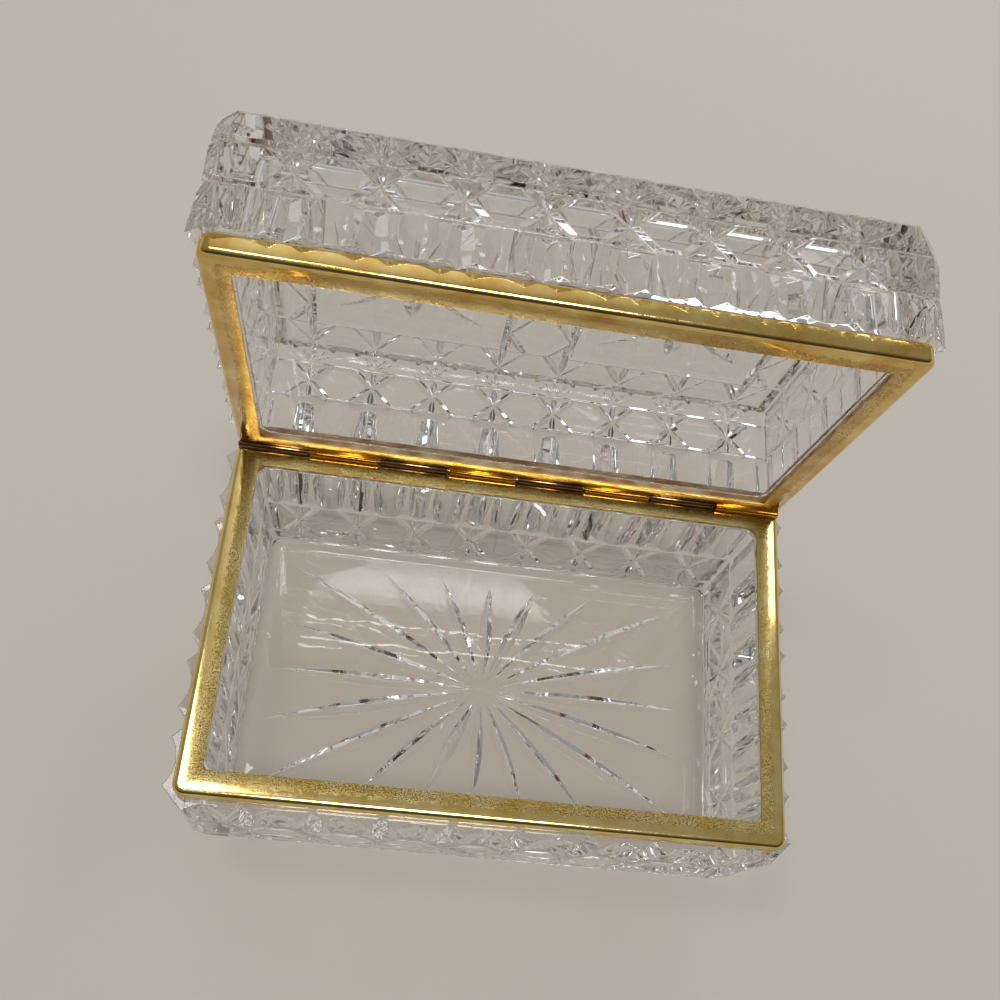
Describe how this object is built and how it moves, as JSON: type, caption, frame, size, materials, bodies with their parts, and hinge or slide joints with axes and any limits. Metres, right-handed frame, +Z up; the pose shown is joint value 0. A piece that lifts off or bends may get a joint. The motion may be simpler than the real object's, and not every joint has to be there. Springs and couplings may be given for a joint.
{
  "type": "glass casket box",
  "caption": "Rectangular pressed-glass casket with a hinged glass lid, both set in brass frames; fluted rims, star-cut buttons and a sunburst under the floor.",
  "frame": {"origin": "centre of the base's foot, on the surface that the box stands on", "axes": "+Z up; +X along the hinge and the long sides, to the right for a viewer at the front; +Y towards the hinge at the back"},
  "size_m": [0.1576, 0.1302, 0.1505],
  "materials": {
    "glass": "clear, fire-polished, cuts ground and polished",
    "brass": "worn gilt, satin and speckled with age",
    "cement": "matt plaster, stained amber"
  },
  "bodies": {
    "base": {"base_glass": "glass", "base_bedding": "cement", "base_frame": "brass", "base_knuckle_1": "brass", "base_knuckle_2": "brass", "base_knuckle_3": "brass", "base_knuckle_4": "brass", "hinge_pin": "brass"},
    "lid": {"lid_glass": "glass", "lid_bedding": "cement", "lid_frame": "brass", "lid_knuckle_1": "brass", "lid_knuckle_2": "brass", "lid_knuckle_3": "brass", "lid_knuckle_4": "brass"}
  },
  "joints": [
    {"name": "lid_hinge", "type": "hinge", "parent": "base", "child": "lid", "pos_m": [0, 0.0464, 0.053], "axis": [1, 0, 0], "range_deg": [0, 85]}
  ]
}
